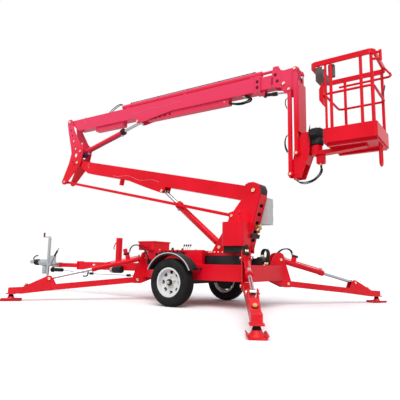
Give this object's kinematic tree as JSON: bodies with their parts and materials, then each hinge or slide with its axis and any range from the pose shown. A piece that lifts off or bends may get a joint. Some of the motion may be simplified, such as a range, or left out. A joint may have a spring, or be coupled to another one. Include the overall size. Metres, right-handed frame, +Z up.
{
  "type": "boom lift",
  "caption": "Towable articulated boom lift in red with outriggers set down, knuckle boom raised and basket hanging on its jib.",
  "frame": {"origin": "on the ground, at the middle of the machine's plan outline", "axes": "+X forward to the tow coupling, +Y left, +Z up"},
  "size_m": [7.316, 4.9124, 3.6043],
  "materials": {
    "red_paint": "glossy red enamel",
    "chrome_rod": "hard chrome",
    "black_steel": "satin black paint",
    "black_plastic": "moulded black plastic",
    "zinc": "zinc plated",
    "tyre": "black tyre rubber",
    "white_paint": "white enamel",
    "grey_plastic": "pale grey powder coat",
    "dark_plastic": "dark grey plastic"
  },
  "bodies": {
    "chassis": {"chassis_frame": "red_paint", "axle": "black_steel", "mudguards": "black_plastic", "drawbar": "red_paint", "tow_coupler": "zinc", "jack_body": "zinc", "boom_rest": "red_paint", "power_box": "red_paint", "control_valves": "black_steel", "slew_base": "black_steel"},
    "wheel_left": {"tyre_left": "tyre", "rim_left": "white_paint"},
    "wheel_right": {"tyre_right": "tyre", "rim_right": "white_paint"},
    "turntable": {"turntable_column": "red_paint", "oil_tank": "red_paint", "electric_cabinet": "grey_plastic", "hose_guide": "black_plastic"},
    "upper_boom": {"upper_boom": "red_paint", "extension_barrel": "red_paint"},
    "basket": {"basket_floor": "red_paint", "basket_hub": "red_paint", "basket_toe_boards": "red_paint", "basket_posts": "red_paint", "basket_mid_rail": "red_paint", "basket_rails": "red_paint", "control_console": "dark_plastic"},
    "jack_leg": {"jack_leg": "zinc"},
    "lower_boom": {"lower_boom": "red_paint"},
    "level_link": {"level_link": "red_paint"},
    "knuckle": {"knuckle": "red_paint"},
    "lower_barrel": {"lower_barrel": "red_paint"},
    "lower_rod": {"lower_rod": "chrome_rod"},
    "inner_boom": {"inner_boom": "red_paint"},
    "upper_barrel": {"upper_barrel": "red_paint"},
    "upper_rod": {"upper_rod": "chrome_rod"},
    "jib_head": {"jib_head": "red_paint"},
    "level_barrel": {"level_barrel": "black_steel"},
    "level_rod": {"level_rod": "chrome_rod"},
    "jib_arm": {"jib_arm": "red_paint"},
    "jib_link": {"jib_link": "red_paint"},
    "jib_barrel": {"jib_barrel": "red_paint"},
    "jib_rod": {"jib_rod": "chrome_rod"},
    "basket_bracket": {"basket_bracket": "red_paint"},
    "leg_fl": {"leg_fl": "red_paint"},
    "leg_barrel_fl": {"leg_barrel_fl": "red_paint"},
    "leg_rod_fl": {"leg_rod_fl": "chrome_rod"},
    "leg_fr": {"leg_fr": "red_paint"},
    "leg_barrel_fr": {"leg_barrel_fr": "red_paint"},
    "leg_rod_fr": {"leg_rod_fr": "chrome_rod"},
    "leg_rl": {"leg_rl": "red_paint"},
    "leg_barrel_rl": {"leg_barrel_rl": "red_paint"},
    "leg_rod_rl": {"leg_rod_rl": "chrome_rod"},
    "leg_rr": {"leg_rr": "red_paint"},
    "leg_barrel_rr": {"leg_barrel_rr": "red_paint"},
    "leg_rod_rr": {"leg_rod_rr": "chrome_rod"}
  },
  "joints": [
    {"name": "wheel_left_spin", "type": "hinge", "parent": "chassis", "child": "wheel_left", "pos_m": [-0.808, 0.763, 0.34], "axis": [0, 1, 0], "continuous": true},
    {"name": "wheel_right_spin", "type": "hinge", "parent": "chassis", "child": "wheel_right", "pos_m": [-0.808, -0.763, 0.34], "axis": [0, 1, 0], "continuous": true},
    {"name": "slew", "type": "hinge", "parent": "chassis", "child": "turntable", "pos_m": [-1.299, 0, 0.73], "axis": [0, 0, 1], "range_deg": [0, 359]},
    {"name": "lower_lift", "type": "hinge", "parent": "turntable", "child": "lower_boom", "pos_m": [-1.78, 0, 1.693], "axis": [0, -1, 0], "range_deg": [-18.5, 40]},
    {"name": "knuckle_level", "type": "hinge", "parent": "lower_boom", "child": "knuckle", "pos_m": [2.186, 0, 2.583], "axis": [0, 1, 0], "range_deg": [-19, 40.5]},
    {"name": "level_link_turn", "type": "hinge", "parent": "turntable", "child": "level_link", "pos_m": [-1.415, 0, 1.333], "axis": [0, -1, 0], "range_deg": [-19, 40.5]},
    {"name": "lower_barrel_turn", "type": "hinge", "parent": "turntable", "child": "lower_barrel", "pos_m": [-1.2, 0, 0.863], "axis": [0, -1, 0], "range_deg": [-17.15, 36.5]},
    {"name": "lower_rod_slide", "type": "slide", "parent": "lower_barrel", "child": "lower_rod", "axis": [0.7745, 0, 0.6326], "range_m": [-0.31206, 0.66892]},
    {"name": "upper_lift", "type": "hinge", "parent": "knuckle", "child": "upper_boom", "pos_m": [2.494, 0, 3.482], "axis": [0, 1, 0], "range_deg": [0, 65]},
    {"name": "upper_barrel_turn", "type": "hinge", "parent": "knuckle", "child": "upper_barrel", "pos_m": [2.116, 0, 2.812], "axis": [0, 1, 0], "range_deg": [0, 59.66]},
    {"name": "upper_rod_slide", "type": "slide", "parent": "upper_barrel", "child": "upper_rod", "axis": [-0.9712, 0, 0.2381], "range_m": [0, 0.80842]},
    {"name": "telescope", "type": "slide", "parent": "upper_boom", "child": "inner_boom", "axis": [-0.9999, 0, -0.0147], "range_m": [0, 2.5]},
    {"name": "jib_head_level", "type": "hinge", "parent": "inner_boom", "child": "jib_head", "pos_m": [-2.264, 0, 3.24], "axis": [0, -1, 0], "range_deg": [0, 65.5]},
    {"name": "level_barrel_turn", "type": "hinge", "parent": "inner_boom", "child": "level_barrel", "pos_m": [-1.899, 0, 3.168], "axis": [0, -1, 0], "range_deg": [-7.68, 0]},
    {"name": "level_rod_slide", "type": "slide", "parent": "level_barrel", "child": "level_rod", "axis": [-0.9952, 0, -0.0982], "range_m": [-0.11801, 0]},
    {"name": "jib_lift", "type": "hinge", "parent": "jib_head", "child": "jib_arm", "pos_m": [-2.451, 0, 3.404], "axis": [0, 1, 0], "range_deg": [0, 110]},
    {"name": "jib_link_turn", "type": "hinge", "parent": "jib_head", "child": "jib_link", "pos_m": [-2.359, 0, 3.114], "axis": [0, 1, 0], "range_deg": [0, 110.5]},
    {"name": "jib_barrel_turn", "type": "hinge", "parent": "jib_head", "child": "jib_barrel", "pos_m": [-2.451, 0, 3.404], "axis": [0, 1, 0], "range_deg": [0, 97.83]},
    {"name": "jib_rod_slide", "type": "slide", "parent": "jib_barrel", "child": "jib_rod", "axis": [0.0111, 0, -0.9999], "range_m": [-0.37915, 0]},
    {"name": "basket_level", "type": "hinge", "parent": "jib_arm", "child": "basket_bracket", "pos_m": [-2.451, 0, 2.161], "axis": [0, -1, 0], "range_deg": [0, 110.5]},
    {"name": "basket_turn", "type": "hinge", "parent": "basket_bracket", "child": "basket", "pos_m": [-2.699, 0, 2.2], "axis": [0, 0, 1], "range_deg": [-45, 45]},
    {"name": "outrigger_fl", "type": "hinge", "parent": "chassis", "child": "leg_fl", "pos_m": [0.301, 0.292, 0.329], "axis": [0.7837, -0.6211, 0], "range_deg": [0, 90]},
    {"name": "leg_barrel_fl_turn", "type": "hinge", "parent": "chassis", "child": "leg_barrel_fl", "pos_m": [0.2187, 0.18816, 0.692], "axis": [0.7837, -0.6211, 0], "range_deg": [0, 96.8]},
    {"name": "leg_rod_fl_slide", "type": "slide", "parent": "leg_barrel_fl", "child": "leg_rod_fl", "axis": [0.6049, 0.7632, -0.2274], "range_m": [-0.53378, 0]},
    {"name": "outrigger_fr", "type": "hinge", "parent": "chassis", "child": "leg_fr", "pos_m": [0.301, -0.292, 0.329], "axis": [-0.7837, -0.6211, 0], "range_deg": [0, 90]},
    {"name": "leg_barrel_fr_turn", "type": "hinge", "parent": "chassis", "child": "leg_barrel_fr", "pos_m": [0.2187, -0.18816, 0.692], "axis": [-0.7837, -0.6211, 0], "range_deg": [0, 96.8]},
    {"name": "leg_rod_fr_slide", "type": "slide", "parent": "leg_barrel_fr", "child": "leg_rod_fr", "axis": [0.6049, -0.7632, -0.2274], "range_m": [-0.53378, 0]},
    {"name": "outrigger_rl", "type": "hinge", "parent": "chassis", "child": "leg_rl", "pos_m": [-1.938, 0.639, 0.329], "axis": [0.8599, 0.5105, 0], "range_deg": [0, 90]},
    {"name": "leg_barrel_rl_turn", "type": "hinge", "parent": "chassis", "child": "leg_barrel_rl", "pos_m": [-1.87035, 0.52507, 0.692], "axis": [0.8599, 0.5105, 0], "range_deg": [0, 96.8]},
    {"name": "leg_rod_rl_slide", "type": "slide", "parent": "leg_barrel_rl", "child": "leg_rod_rl", "axis": [-0.4972, 0.8373, -0.2274], "range_m": [-0.53378, 0]},
    {"name": "outrigger_rr", "type": "hinge", "parent": "chassis", "child": "leg_rr", "pos_m": [-1.938, -0.639, 0.329], "axis": [-0.8599, 0.5105, 0], "range_deg": [0, 90]},
    {"name": "leg_barrel_rr_turn", "type": "hinge", "parent": "chassis", "child": "leg_barrel_rr", "pos_m": [-1.87035, -0.52507, 0.692], "axis": [-0.8599, 0.5105, 0], "range_deg": [0, 96.8]},
    {"name": "leg_rod_rr_slide", "type": "slide", "parent": "leg_barrel_rr", "child": "leg_rod_rr", "axis": [-0.4972, -0.8373, -0.2274], "range_m": [-0.53378, 0]},
    {"name": "jack_slide", "type": "slide", "parent": "chassis", "child": "jack_leg", "axis": [0, 0, -1], "range_m": [0, 0.13]}
  ],
  "couplings": [
    {"joint": "knuckle_level", "follows": "lower_lift", "ratio": 1},
    {"joint": "level_link_turn", "follows": "lower_lift", "ratio": 1},
    {"joint": "lower_barrel_turn", "follows": "lower_lift", "ratio": 0.9},
    {"joint": "lower_rod_slide", "follows": "lower_lift", "m_per_rad": 0.951},
    {"joint": "upper_barrel_turn", "follows": "upper_lift", "ratio": 0.9101},
    {"joint": "upper_rod_slide", "follows": "upper_lift", "m_per_rad": 0.70819},
    {"joint": "jib_head_level", "follows": "upper_lift", "ratio": 1},
    {"joint": "level_barrel_turn", "follows": "upper_lift", "ratio": -0.1105},
    {"joint": "level_rod_slide", "follows": "upper_lift", "m_per_rad": -0.099618},
    {"joint": "jib_link_turn", "follows": "jib_lift", "ratio": 1},
    {"joint": "jib_barrel_turn", "follows": "jib_lift", "ratio": 0.88483},
    {"joint": "jib_rod_slide", "follows": "jib_lift", "m_per_rad": -0.19488},
    {"joint": "basket_level", "follows": "jib_lift", "ratio": 1},
    {"joint": "leg_barrel_fl_turn", "follows": "outrigger_fl", "ratio": 1.07},
    {"joint": "leg_rod_fl_slide", "follows": "outrigger_fl", "m_per_rad": -0.33663},
    {"joint": "leg_barrel_fr_turn", "follows": "outrigger_fr", "ratio": 1.07},
    {"joint": "leg_rod_fr_slide", "follows": "outrigger_fr", "m_per_rad": -0.33663},
    {"joint": "leg_barrel_rl_turn", "follows": "outrigger_rl", "ratio": 1.07},
    {"joint": "leg_rod_rl_slide", "follows": "outrigger_rl", "m_per_rad": -0.33663},
    {"joint": "leg_barrel_rr_turn", "follows": "outrigger_rr", "ratio": 1.07},
    {"joint": "leg_rod_rr_slide", "follows": "outrigger_rr", "m_per_rad": -0.33663}
  ]
}
